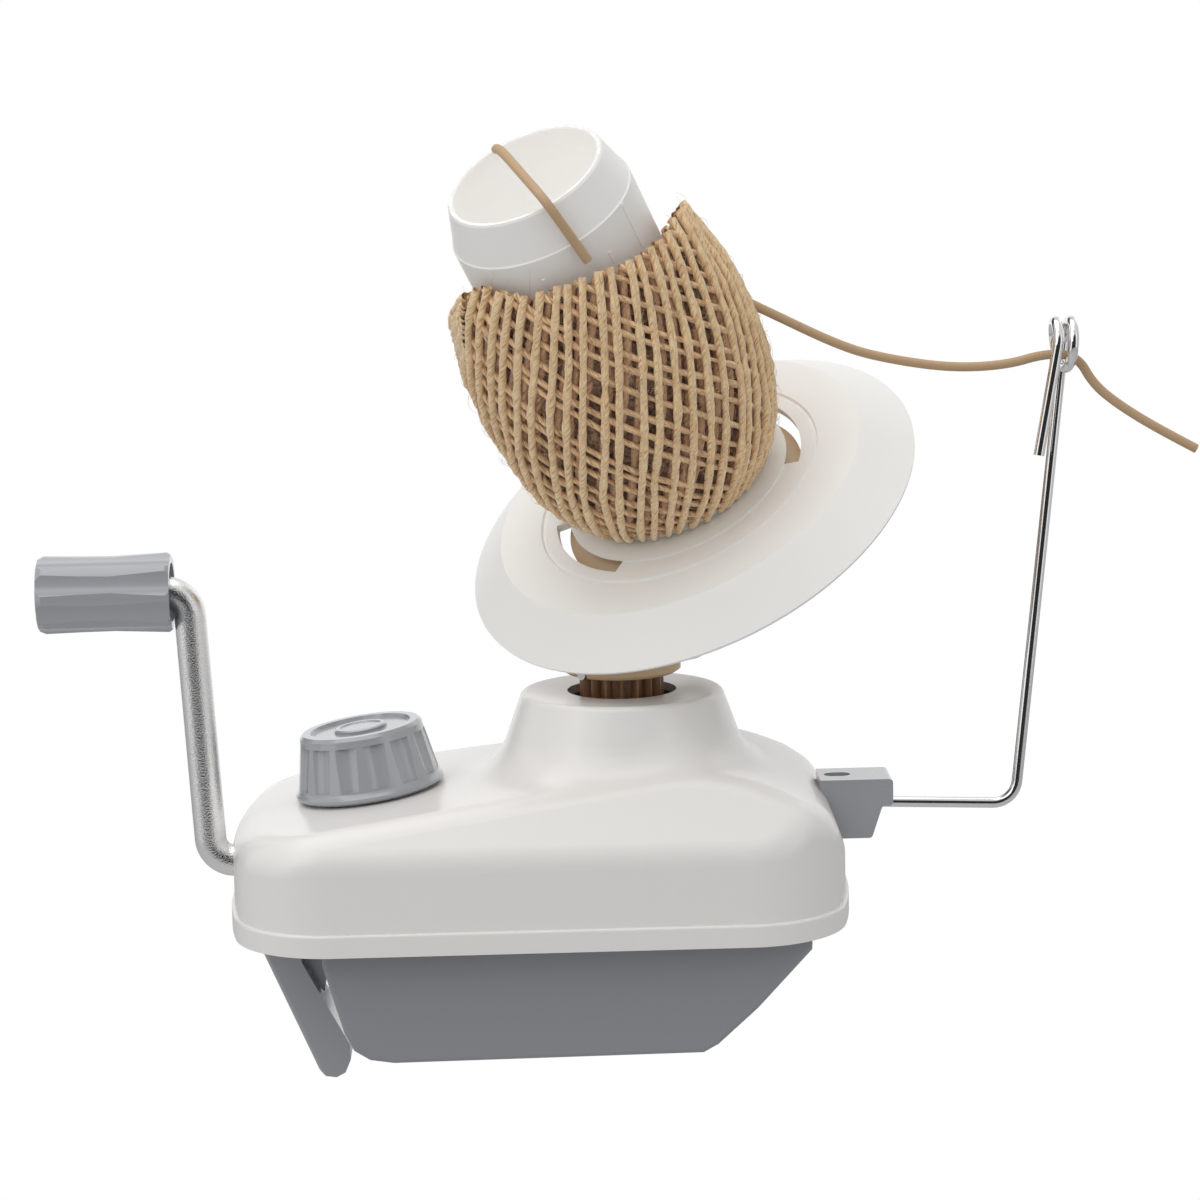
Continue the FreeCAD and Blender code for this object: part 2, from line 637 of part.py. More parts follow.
def gear_pin():
    """The cross pin that locks the gear to the shaft."""
    return rod(1.0, V(-44.27, CRANK_Y, CRANK_Z - 6.9), V(-44.27, CRANK_Y, CRANK_Z + 6.9))


def grip_outline(profile):
    """A solid of revolution about the grip's axis from (radius, distance from its right end)."""
    shape = turned(profile)
    shape.rotate(ORIGIN, Y_AXIS, -90)
    shape.translate(V(GRIP_RIGHT_X, CRANK_Y, GRIP_Z))
    return shape


def crank_grip():
    """The fluted, slightly waisted sleeve that turns on the rod's end."""
    end = GRIP_LENGTH
    body = grip_outline([(0, 0), (9.2, 0), (GRIP_R, 0.9), (9.6, 5), (9.2, 14), (9.3, 22),
                         (9.55, end - 1.4), (8.9, end), (0, end)])
    grooves = []
    for i in range(GRIP_LOBES):
        a = (i + 0.5) * 2 * math.pi / GRIP_LOBES
        offset = V(0, 16.9 * math.cos(a), 16.9 * math.sin(a))
        centre = V(GRIP_RIGHT_X, CRANK_Y, GRIP_Z) + offset
        grooves.append(rod(8.2, centre + V(3, 0, 0), centre + V(-end - 3, 0, 0)))
    body = body.cut(grooves)
    bore = grip_outline([(0, -1), (CRANK_ROD_R + RUNNING, -1), (CRANK_ROD_R + RUNNING, 28),
                         (6.8, 28), (6.8, end + 1), (0, end + 1)])
    dish = grip_outline([(0, -1), (7.2, -1), (7.2, 4.0), (0, 4.0)])
    return body.cut([bore, dish]).removeSplitter()


def grip_clip():
    """The push ring on the rod's end, inside the grip's far recess."""
    return grip_outline([(CRANK_ROD_R, 28.1), (6.4, 28.1), (6.4, 29.0), (CRANK_ROD_R, 29.0)])


def grip_cap():
    """The plug in the grip's far end."""
    end = GRIP_LENGTH
    return grip_outline([(0, 30.2), (6.8, 30.2), (6.8, end - 0.3), (6.5, end), (0, end)])


# ---- winding head -------------------------------------------------------------------
def ring_gear():
    """The bevel gear under the disc that rolls round the fixed gear."""
    half = bevel_angles()[1]
    low_r, low_s = bevel_root(half, RING_TEETH, BEVEL_OUTER)
    top_r, top_s = bevel_root(half, RING_TEETH, BEVEL_OUTER - BEVEL_FACE)
    under = DISC_TOP_S - DISC_THICK
    blank = turned([(0, under - 15), (6.0, under - 15), (6.0, under - 3), (24.5, under - 3),
                    (24.5, low_s), (low_r, low_s), (top_r, top_s), (28.6, top_s + 1.5),
                    (28.6, under - 5.5), (31.6, under - 4.2), (31.6, under - 3.0),
                    (26.5, under - 0.8), (26.5, under), (6.0, under),
                    (6.0, -36.0), (0, -36.0)])
    blank = blank.cut(rod(ARM_R + RUNNING, V(0, 0, -80), V(0, 0, 0)))
    for i in range(6):
        rib = box((5.6, -0.8, under - 11), (24.8, 0.8, under - 2.5))
        rib.rotate(ORIGIN, Z_AXIS, i * 60 + 30)
        blank = blank.fuse(rib)
    return on_cone(bevel_gear(RING_TEETH, half, 0.5, blank))


def ring_sector(inner, outer, low, high, start, span):
    """A curved block between two radii, two heights and two angles."""
    face = polygon_face([V(r, 0, s) for r, s in
                         ((inner, low), (outer, low), (outer, high), (inner, high))])
    sector = face.revolve(ORIGIN, Z_AXIS, span)
    sector.rotate(ORIGIN, Z_AXIS, start)
    return sector


def disc():
    """The tilted disc under the yarn: flat top, sloping border, two windows."""
    under = DISC_TOP_S - DISC_THICK
    shape = turned([(6.0, under), (34.6, under), (36.0, under), (48.6, under),
                    (DISC_R - 2.4, DISC_EDGE_S - 0.3), (DISC_R - 2.4, DISC_EDGE_S - 1.0),
                    (DISC_R - 0.7, DISC_EDGE_S - 1.0), (DISC_R - 0.2, DISC_EDGE_S - 0.6),
                    (DISC_R, DISC_EDGE_S), (DISC_BEVEL_R, DISC_BEVEL_S),
                    (DISC_BEVEL_R - 1.2, DISC_TOP_S), (37.6, DISC_TOP_S),
                    (37.2, DISC_TOP_S - 0.6), (36.6, DISC_TOP_S - 0.6), (36.2, DISC_TOP_S),
                    (6.0, DISC_TOP_S)])
    windows = []
    for start in WINDOW_STARTS:
        windows.append(ring_sector(WINDOW_INNER_R, WINDOW_OUTER_R, under - 1, DISC_TOP_S + 1,
                                   start, WINDOW_SPAN))
    lip = turned([(46.5, under + 0.2), (46.5, under - 2.2), (48.0, under - 2.2), (48.9, under + 0.2)])
    return on_cone(shape.fuse(lip).cut(windows).removeSplitter())


def spool():
    """The tapered tube the yarn is wound on, with a cup at its top and a rib pattern."""
    inner_top = SPOOL_TOP_R - 1.2
    shape = turned([(2.4, 20), (5.2, 20), (5.2, CUP_FLOOR_S - 2),
                    (SPOOL_R - SPOOL_WALL, CUP_FLOOR_S - 2),
                    (SPOOL_R - SPOOL_WALL, DISC_TOP_S), (SPOOL_FOOT_R, DISC_TOP_S),
                    (SPOOL_FOOT_R, DISC_TOP_S + 0.4),
                    (SPOOL_R, DISC_TOP_S + 1.65), (SPOOL_R, SPOOL_SHOULDER_S - 0.3),
                    (22.85, SPOOL_SHOULDER_S),
                    (SPOOL_TOP_R + 0.2, SPOOL_TOP_S - 0.5), (SPOOL_TOP_R - 0.2, SPOOL_TOP_S),
                    (inner_top + 0.2, SPOOL_TOP_S), (inner_top, SPOOL_TOP_S - 0.4),
                    (22.5 - SPOOL_WALL, SPOOL_SHOULDER_S), (SPOOL_R - SPOOL_WALL, CUP_FLOOR_S),
                    (2.4, CUP_FLOOR_S)])
    for angle, low, high in SPOOL_RIBS:
        rib = box((SPOOL_R - 0.6, -0.45, low), (SPOOL_R + 0.18, 0.45, high))
        rib.rotate(ORIGIN, Z_AXIS, angle)
        shape = shape.fuse(rib)
    return on_cone(shape.cut(rod(ARM_R + RUNNING, V(0, 0, 0), V(0, 0, 60))).removeSplitter())


def spool_retainer():
    """The push nut on the spindle's tip, down in the spool's cup."""
    nut = turned([(ARM_R, CUP_FLOOR_S + 0.3), (5.6, CUP_FLOOR_S + 0.3), (5.6, CUP_FLOOR_S + 1.1),
                  (3.6, CUP_FLOOR_S + 2.4), (ARM_R, CUP_FLOOR_S + 2.4)])
    return on_cone(nut)


def yarn_ball():
    """The wound yarn: a hollow cake whose slanting top falls away to the back."""
    outline = [(SPOOL_R, 46), (25.0, 46), (27.2, 42), (29.4, 38), (31.0, 34), (32.1, 30),
               (33.7, 22), (35.8, 12), (36.5, 0), (35.9, -12), (34.1, -22), (31.3, -30),
               (27.6, -36), (24.6, -39.5), (SPOOL_R, -39.5)]
    rim = Part.BSplineCurve()
    rim.interpolate([V(across, 0, along) for across, along in BALL_RIM])
    start = V(BALL_RIM[0][0], 0, BALL_RIM[0][1])
    end = V(BALL_RIM[-1][0], 0, BALL_RIM[-1][1])
    corners = [end, V(end.x, 0, 80), V(start.x, 0, 80), start]
    edges = [rim.toShape()]
    for before, after in zip(corners, corners[1:]):
        edges.append(Part.LineSegment(before, after).toShape())
    fall = math.radians(BALL_RIM_FALL)
    away = V(0, math.cos(fall), -math.sin(fall)) * 80
    above = Part.Face(Part.Wire(edges))
    above.translate(-away)
    above = above.extrude(away * 2)
    above.rotate(ORIGIN, Z_AXIS, BALL_FRONT + 90)
    return on_cone(turned(outline).cut(above))


def yarn_tail():
    """The loose start of the yarn, laid across the cup and down the outside."""
    points = [cone_point(r, a, s) for r, a, s in
              ((23.6, -122.0, 49.5), (21.9, -122.0, 58.8), (22.9, 52.8, 59.2), (25.8, 58.5, 41.3))]
    return cord("yarn_tail", points, YARN_R)


def yarn_lead():
    """The last of the yarn, where it leaves the wound ball and turns with it."""
    return cord("yarn_lead", [V(35.6, 0, 148.9), V(45.0, 0, 144.2)], YARN_R)


def yarn_strand():
    """The working yarn, from beside the ball through the eyelet to its loose end."""
    points = [V(x, 0, z) for x, z in
              ((45.3, 144.05), (56.0, 138.6), (68.1, 135.3), (83.0, 132.9),
               (96.5, 133.3), (106.4, 136.0), (114.1, 135.1), (117.9, 128.1), (124.4, 122.7),
               (134.2, 116.5), (143.6, 111.4))]
    return cord("yarn_strand", points, YARN_R)


# ---- yarn guide ---------------------------------------------------------------------
def guide_holder():
    """The block in the body's right end that grips the wire."""
    block = holder_form()
    block = block.makeFillet(1.0, [e for e in block.Edges if e.BoundBox.XMin > 60
                                   and e.BoundBox.YLength > 1])
    dimple = rod(2.2, V(52.4, 0, 30.6), V(52.4, 0, 32)).fuse(
        rod(2.2, V(54.6, 0, 30.6), V(54.6, 0, 32))).fuse(
        box((52.4, -2.2, 30.6), (54.6, 2.2, 32)))
    run = WIRE_CORNER - WIRE_START
    hole = rod(WIRE_R, WIRE_START, WIRE_START + run * 0.4)
    return block.cut([dimple, hole]).removeSplitter()


def yarn_guide_wire():
    """One wire: out of the block, up, round one and a half turns as an eyelet, and down."""
    points = [WIRE_START, WIRE_CORNER]
    corner_r = EYE_R / math.cos(math.radians(22.5))
    for i in range(12):
        angle = math.radians(22.5 + 45 * i)
        sideways = EYE_STEP * math.cos(math.pi * (i - 2.2) / 7.5)
        points.append(V(EYE_X + sideways, corner_r * math.cos(angle),
                        EYE_Z + corner_r * math.sin(angle)))
    points.append(V(103.4, -EYE_R - 1.6, 111.6))
    return swept(bent_path(points, [6.0] + [0.93 * EYE_R] * 12), WIRE_R)


# ---- table clamp --------------------------------------------------------------------
def knob_washer():
    return on_clamp_axis(turned([(SCREW_R + RUNNING, -0.6), (8.0, -0.6), (8.0, 0.2),
                                 (SCREW_R + RUNNING, 0.2)]))


def clamp_knob():
    """The knob: a flange, a skirt with wide scallops, and a dished top."""
    body = turned([(SCREW_R, 0.5), (17.5, 0.5), (18.6, 1.2), (18.7, 2.0), (18.0, 2.7), (17.7, 3.2),
                   (15.5, 15.2), (15.4, 16.0), (14.6, 16.8), (12.6, 16.8), (12.2, 16.0),
                   (SCREW_R, 16.0)])
    flutes = []
    for i in range(KNOB_FLUTES):
        flute = rod(5.2, V(22.3, 0, 3.4), V(19.7, 0, 15.2))
        flute = flute.common(box((0, -9, 3.6), (30, 9, 14.6)))
        flute.rotate(ORIGIN, Z_AXIS, i * 360 / KNOB_FLUTES)
        flutes.append(flute)
    return on_clamp_axis(body.cut(flutes).removeSplitter())


def knob_cap():
    """The disc that covers the screw's head in the knob's top."""
    return on_clamp_axis(turned([(0, 16.0), (6.6, 16.0), (6.6, 16.6), (6.1, 16.9), (5.3, 16.9),
                                 (5.0, 16.6), (0, 16.6)]))


def clamp_screw():
    """The clamp's threaded rod, fixed in the knob."""
    bar = rod(SCREW_R, V(0, 0, SCREW_TIP), V(0, 0, 16.0))
    return on_clamp_axis(bar.makeChamfer(0.8, [bar.Edges[2]]))


def clamp_jaw():
    """The ribbed jaw that is drawn up against the table from below."""
    outline = [(-74.6, -2.0), (-74.6, -4.5), (-73.0, -10.5), (-69.7, -21.8), (-67.6, -25.9),
               (-63.8, -28.3), (-58, -29.2), (17.2, -28.6), (20.8, -26.6), (30.6, -17.8),
               (43.8, -3.6), (43.8, -1.2), (-73.9, -1.2)]
    jaw = side_prism(outline, JAW_HALF_DEPTH)
    jaw = jaw.makeFillet(1.5, [e for e in jaw.Edges if e.BoundBox.YLength < 0.01
                               and e.BoundBox.ZMax < -2.1])
    inner = side_prism([(-71.5, -3.8), (-70.0, -10.5), (-66.8, -21.0), (-65.5, -32.0),
                        (16.1, -32.0), (19.1, -25.3), (28.6, -17.0), (40.0, -3.8)],
                       JAW_HALF_DEPTH - 2.4)
    jaw = jaw.cut(inner)
    ribs = [box((-68, -1.0, -26.8), (28, 1.0, -3))]
    for i in range(7):
        x = -48.0 + 13 * i
        low = -26.8 if x < 16 else -16.0
        ribs.append(box((x - 0.9, 2.4 - JAW_HALF_DEPTH, low), (x + 0.9, JAW_HALF_DEPTH - 2.4, -3)))
    ribs.append(box((-71, -10.6, -24), (-62.2, -9.0, -3)))
    ribs.append(box((-71, 9.0, -24), (-62.2, 10.6, -3)))
    ribs.append(box((-64.2, -10.6, -26), (-62.4, 10.6, -3)))
    jaw = jaw.fuse(ribs)
    boss = on_clamp_axis(rod(10.4, V(0, 0, NUT_TOP - 9), V(0, 0, NUT_TOP + 2)))
    jaw = jaw.fuse(boss.common(box((-90, -40, -20), (0, 40, -1.4))))
    pocket = on_clamp_axis(hexagon(6.6, NUT_TOP - 12, NUT_TOP))
    hole = on_clamp_axis(rod(4.6, V(0, 0, -80), V(0, 0, 0)))
    notch = box((-80, -9.0, -40), (-64.2, 9.0, 0))
    well = on_clamp_axis(rod(10.4, V(0, 0, NUT_TOP - 30), V(0, 0, NUT_TOP - 9)))
    return jaw.cut([notch, well, pocket, hole]).removeSplitter()


def hexagon(flat, low, high):
    """A hexagonal prism on the Z axis, flat being half its width across flats."""
    radius = flat / math.cos(math.radians(30))
    corners = []
    for i in range(6):
        a = math.radians(60 * i)
        corners.append(V(radius * math.cos(a), radius * math.sin(a), low))
    return polygon_face(corners).extrude(V(0, 0, high - low))


def clamp_nut():
    """The steel nut held in the jaw."""
    nut = hexagon(6.5, NUT_TOP - 6.5, NUT_TOP)
    return on_clamp_axis(nut.cut(rod(SCREW_R + RUNNING, V(0, 0, -90), V(0, 0, 0))))


def nut_plate():
    """The spring plate that keeps the nut in its pocket."""
    plate = rod(9.6, V(0, 0, NUT_TOP - 10.2), V(0, 0, NUT_TOP - 9))
    return on_clamp_axis(plate.cut(rod(4.6, V(0, 0, -90), V(0, 0, 0))))


def jaw_pad():
    """The thin soft pad on top of the jaw, below the table."""
    pad = box((8, -30, -1.2), (40, 30, -0.4))
    return pad.makeFillet(2.0, [e for e in pad.Edges if e.BoundBox.ZLength > 0.5])


# ---- every piece by its node name -------------------------------------------------
PIECES = {
    "top_housing": top_housing, "base_plate": base_plate, "housing_screws": housing_screws,
    "centre_post": centre_post, "post_screw": post_screw, "sun_gear": sun_gear,
    "drive_pinion": drive_pinion, "spindle_arm": spindle_arm, "arm_pin": arm_pin,
    "transfer_gear": transfer_gear, "transfer_pin": transfer_pin,
    "transfer_clip": transfer_clip, "crank_rod": crank_rod, "crank_bushes": crank_bushes,
    "crank_clip": crank_clip, "crank_gear": crank_gear, "gear_pin": gear_pin,
    "crank_grip": crank_grip, "grip_clip": grip_clip, "grip_cap": grip_cap,
    "ring_gear": ring_gear, "disc": disc, "spool": spool, "spool_retainer": spool_retainer,
    "yarn_ball": yarn_ball, "yarn_tail": yarn_tail, "yarn_lead": yarn_lead,
    "yarn_strand": yarn_strand,
    "guide_holder": guide_holder, "yarn_guide_wire": yarn_guide_wire,
    "knob_washer": knob_washer, "clamp_knob": clamp_knob, "knob_cap": knob_cap,
    "clamp_screw": clamp_screw, "clamp_jaw": clamp_jaw, "clamp_nut": clamp_nut,
    "nut_plate": nut_plate, "jaw_pad": jaw_pad,
}


def main():
    os.makedirs("parts", exist_ok=True)
    for name, make in PIECES.items():
        shape = make()
        if not shape.isValid():
            print(name, "is not a valid shape")
        print(name, len(shape.Solids), "solid(s), volume", round(shape.Volume, 1))
        shape.exportStep("parts/" + name + ".step")


main()
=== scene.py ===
"""Looks of the hand-cranked yarn cone winder: studio, finishes, wound twine and loose yarn.

Lengths are in millimetres, and MM turns them into metres. The cone is the tilted spool with
the twine on it. A place on it is a radius, an angle round from the downhill side, and a
distance along its axis from the apex.
"""
import json
import math
import bpy
import numpy as np
from mathutils import Matrix, Vector


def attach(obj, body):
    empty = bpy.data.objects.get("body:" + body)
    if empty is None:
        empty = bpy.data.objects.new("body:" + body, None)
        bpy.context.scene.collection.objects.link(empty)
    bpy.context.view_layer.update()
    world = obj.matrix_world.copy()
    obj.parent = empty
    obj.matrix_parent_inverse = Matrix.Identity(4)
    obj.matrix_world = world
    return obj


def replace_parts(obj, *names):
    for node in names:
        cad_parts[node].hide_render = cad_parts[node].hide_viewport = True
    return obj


MM = 0.001

# ---- the cone --------------------------------------------------------------------------
TILT = math.radians(34.6)
LEAN = math.radians(228.0)
APEX = np.array([0.0, 0.0, 137.5])
AXIS = np.array([math.sin(TILT) * math.cos(LEAN), math.sin(TILT) * math.sin(LEAN), math.cos(TILT)])
DOWNHILL = np.array([math.cos(TILT) * math.cos(LEAN), math.cos(TILT) * math.sin(LEAN), -math.sin(TILT)])
ACROSS = np.cross(AXIS, DOWNHILL)
FRONT = math.radians(48.3)          # angle of the side that faces the camera
RIGHT = FRONT + math.pi / 2
SPOOL_R = 23.2
CUP_FLOOR = 28.5                    # along the axis
FLOOR_MIDDLE_R = 5.0                # faces this close to the axis are the cup's floor
TEETH_TOP_Z = 59.0                  # where the pinion's teeth end under its collar

# ---- camera and studio -----------------------------------------------------------------
CAMERA_PLACE = (-0.02155, -0.86699, 0.21762)
CAMERA_RIGHT = (0.9995, -0.0226, -0.0215)
CAMERA_AHEAD = (0.0189, 0.9869, -0.1599)
CAMERA_LENS = 106.05                # on a frame 36 mm wide
AIM = (-0.02, 0, 0.08)              # the middle of the winder, in metres
LIGHTS = (("top", (-0.3, 0.1, 1.5), 1.4, 7.5),      # name, place, width in metres, watts
          ("key", (-0.9, -1.0, 1.1), 1.2, 5.0))
WORLD_LOW = 0.42                    # strength straight below and straight above
WORLD_HIGH = 0.74
WHITE_BEHIND = (0.80, 0.93)         # how far towards +Y the grey begins and ends turning white
# panels that only mirrors see: bearings in radians from straight in front, to the right
# positive, and what each kind adds as a share of the grey
DARK_PANELS = ((-0.80, 0.60), (-2.9, -2.2))
DARK_GAIN = -0.96
BRIGHT_PANELS = ((-1.50, -0.80), (0.75, 1.0), (2.2, 2.7))
BRIGHT_GAIN = 0.8
PANEL_EDGE = 0.06
PANEL_TOP = (0.55, 0.8)             # where the panels fade out upwards
FLOOR_Z = -600.0
FLOOR_HALF = 3000.0
FLOOR_GREY = (196, 196, 196)

# ---- grain and streaks -----------------------------------------------------------------
MOULDED_GRAIN = (900.0, 0.03, 0.00005)      # scale, strength, depth in metres
DRAWN_GRAIN = (600.0, 0.15, 0.0001)
ROD_GRAIN = (2600.0, 1.0, 0.00013)
STREAKS_ALONG = 260.0               # noise per metre of strand
STREAK_DARK = 0.36                  # noise at and below which a fibre is darkest
STREAK_LIGHT = 0.56                 # noise at and above which it is lightest

# ---- twine and yarn --------------------------------------------------------------------
# the ball's outline, as radius and distance along the axis
BALL = [(24.6, -39.5), (27.6, -36.0), (31.3, -30.0), (34.1, -22.0), (35.9, -12.0), (36.5, 0.0),
        (35.8, 12.0), (33.7, 22.0), (32.1, 30.0), (31.0, 34.0), (29.4, 38.0), (27.2, 42.0),
        (25.0, 46.0)]
# the ball's slanting rim seen from the front, as places across and along the axis
RIM = np.array([(-44.0, 8.0), (-36.4, 20.0), (-32.6, 27.0), (-30.2, 31.0), (-26.8, 33.6),
                (-23.1, 34.8), (-19.8, 34.2), (-16.4, 30.4), (-12.2, 27.3), (-6.9, 25.8),
                (3.1, 24.4), (10.1, 23.4), (15.1, 23.5), (20.4, 24.3), (24.1, 25.8),
                (27.6, 28.4), (32.1, 31.4), (44.0, 38.0)])
RIM_FALL = math.tan(math.radians(28.8))     # how steeply the rim falls to the back
OUTLINE_POINTS = 12                 # between two places of the outline
STEP = 0.7                          # between the points along a strand
PLY_TWIST = 0.8                     # radians per mm
PLY_SWELL = 0.04
STRAND_SIDES = 10
# how strands stray: the knots of the drift along one, and how far it goes
SIZE_DRIFT = (34, 0.12)             # as a share of the thickness
HEIGHT_DRIFT = (14, 0.16)
SIDE_KNOTS = 8
SPACING_ERROR = 0.12                # as a share of the space between two strands
RIM_DROP = 0.3                      # lower end of a strand for each mm it lies deeper
SPOOL_GAP = 0.6
CORE_INWARD = 3.3
CORE_SIDES = 120
CORE_BELOW_RIM = 2.5
WRAPS = 9
WRAP_POINTS = 70
WRAP_THICK = 0.95
WRAP_LIFT = 0.25
WRAP_DRIFT = (9, 0.3)
# radians past the left side, radians swept, mm below the rim, and mm more by its far end
FIRST_WRAP = np.array((0.42, 1.5, 0.6, 1.0))
LAST_WRAP = np.array((0.32, 0.75, 9.6, 8.0))
RIM_GUESS = 30.0                    # where the search for the rim's height begins
RIM_ROUNDS = 6
HAIRS = 2200
HAIR_R = 0.055
HAIR_TAPER = 0.6
HAIR_POINTS = 6
HAIR_SIDES = 3
HAIR_LENGTH = (1.5, 6.0)
HAIR_BEND = 0.9                     # radians
HAIR_SINK = (-1.6, 0.5)             # of both its ends, against the ball's outline
HAIR_ARCH = (0.1, 1.1)
HAIR_BELOW_RIM = 1.5

YARN_R = 1.15
STRAND = [(45.3, 0, 144.05), (56.0, 0, 138.6), (68.1, 0, 135.3), (83.0, 0, 132.9),
          (96.5, 0, 133.3), (106.4, 0, 136.0), (114.1, 0, 135.1), (117.9, 0, 128.1),
          (124.4, 0, 122.7), (134.2, 0, 116.5), (143.6, 0, 111.4)]
LEAD = [(33.0, 0, 150.2), (37.1, 0, 148.15), (41.2, 0, 146.1), (45.26, 0, 144.07)]
# radius, angle in degrees, distance along the axis; the third place is where it tops the rim
TAIL_ON_CONE = [(23.6, -122.0, 49.5), (21.9, -122.0, 58.8), (22.9, 52.8, 59.2), (25.8, 58.5, 41.3)]
TAIL_RIM_CORNER = 2
CORNER_SHARE = 0.45                 # of the shorter run beside a corner that its bend takes


# ---- nodes -----------------------------------------------------------------------------
def add_node(tree, kind, inputs, **settings):
    """A node with its settings, whose inputs are linked to sockets or set to plain values."""
    node = tree.nodes.new(kind)
    for name, value in settings.items():
        setattr(node, name, value)
    for name, value in inputs.items():
        if isinstance(value, bpy.types.NodeSocket):
            tree.links.new(value, node.inputs[name])
        else:
            node.inputs[name].default_value = value
    return node


def maths(tree, operation, *values):
    """The output of one maths node."""
    return add_node(tree, "ShaderNodeMath", dict(enumerate(values)), operation=operation).outputs[0]


def ramp_between(tree, value, low, high, curve="SMOOTHSTEP"):
    """0 below low, 1 above high, and in between along a curve."""
    node = add_node(tree, "ShaderNodeMapRange", {"Value": value, "From Min": low, "From Max": high},
                    interpolation_type=curve)
    return node.outputs["Result"]


def node_group(name, inputs, outputs):
    """An empty shader group, with the sockets inside it that carry its inputs and outputs."""
    group = bpy.data.node_groups.new(name, "ShaderNodeTree")
    for side, sockets in (("INPUT", inputs), ("OUTPUT", outputs)):
        for socket, kind in sockets:
            group.interface.new_socket(socket, in_out=side, socket_type="NodeSocket" + kind)
    return group, group.nodes.new("NodeGroupInput").outputs, group.nodes.new("NodeGroupOutput").inputs


def place_group(tree, group, inputs):
    """One use of a group, with its own values."""
    return add_node(tree, "ShaderNodeGroup", inputs, node_tree=group).outputs


def fine_grain():
    """The faint unevenness of moulded plastic and drawn wire."""
    group, given, gives = node_group(
        "fine_grain", (("Scale", "Float"), ("Strength", "Float"), ("Depth", "Float")),
        (("Normal", "Vector"),))
    coords = group.nodes.new("ShaderNodeTexCoord").outputs
    noise = add_node(group, "ShaderNodeTexNoise",
                     {"Vector": coords["Object"], "Scale": given["Scale"], "Detail": 4.0})
    bump = add_node(group, "ShaderNodeBump",
                    {"Height": noise.outputs["Fac"], "Strength": given["Strength"],
                     "Distance": given["Depth"]})
    group.links.new(bump.outputs["Normal"], gives["Normal"])
    return group


def jute_fibres():
    """Streaks along a strand, whose U runs along it in metres and V round it."""
    group, given, gives = node_group(
        "jute_fibres", (("Light", "Color"), ("Dark", "Color"), ("Along", "Float"), ("Around", "Float")),
        (("Color", "Color"), ("Normal", "Vector")))
    coords = group.nodes.new("ShaderNodeTexCoord").outputs
    stretch = add_node(group, "ShaderNodeCombineXYZ",
                       {"X": given["Along"], "Y": given["Around"], "Z": 1.0})
    place = add_node(group, "ShaderNodeMapping",
                     {"Vector": coords["UV"], "Scale": stretch.outputs["Vector"]})
    noise = add_node(group, "ShaderNodeTexNoise",
                     {"Vector": place.outputs["Vector"], "Scale": 1.0, "Detail": 6.0, "Roughness": 0.65})
    streak = noise.outputs["Fac"]
    paleness = ramp_between(group, streak, STREAK_DARK, STREAK_LIGHT, "LINEAR")
    colour = add_node(group, "ShaderNodeMix", {0: paleness, 6: given["Dark"], 7: given["Light"]},
                      data_type="RGBA")
    bump = add_node(group, "ShaderNodeBump", {"Height": streak, "Strength": 0.6, "Distance": 0.0003})
    group.links.new(colour.outputs[2], gives["Color"])
    group.links.new(bump.outputs["Normal"], gives["Normal"])
    return group


# ---- studio ----------------------------------------------------------------------------
def make_camera():
    data = bpy.data.cameras.new("camera")
    data.lens = CAMERA_LENS
    data.sensor_width = 36.0
    data.clip_start = 0.05
    data.clip_end = 20.0
    camera = bpy.data.objects.new("camera", data)
    right = Vector(CAMERA_RIGHT).normalized()
    ahead = Vector(CAMERA_AHEAD).normalized()
    up = right.cross(ahead).normalized()
    turn = Matrix((right, up, -ahead)).transposed()
    camera.matrix_world = Matrix.Translation(Vector(CAMERA_PLACE)) @ turn.to_4x4()
    bpy.context.collection.objects.link(camera)
    bpy.context.scene.camera = camera


def soft_light(name, place, width, watts):
    """A square lamp aimed at the middle of the winder."""
    data = bpy.data.lights.new(name, "AREA")
    data.shape = "RECTANGLE"
    data.size = width
    data.size_y = width
    data.energy = watts
    light = bpy.data.objects.new(name, data)
    aim = Vector(AIM) - Vector(place)
    turn = aim.to_track_quat("-Z", "Y").to_matrix().to_4x4()
    light.matrix_world = Matrix.Translation(Vector(place)) @ turn
    bpy.context.collection.objects.link(light)


def panel_mask(tree, bearing, panels):
    """1 where a bearing falls in one of the panels, with soft edges."""
    mask = 0.0
    for low, high in panels:
        begun = ramp_between(tree, bearing, low - PANEL_EDGE, low + PANEL_EDGE)
        ended = ramp_between(tree, bearing, high - PANEL_EDGE, high + PANEL_EDGE)
        inside = maths(tree, "MULTIPLY", begun, maths(tree, "SUBTRACT", 1.0, ended))
        mask = maths(tree, "ADD", inside, mask)
    return mask


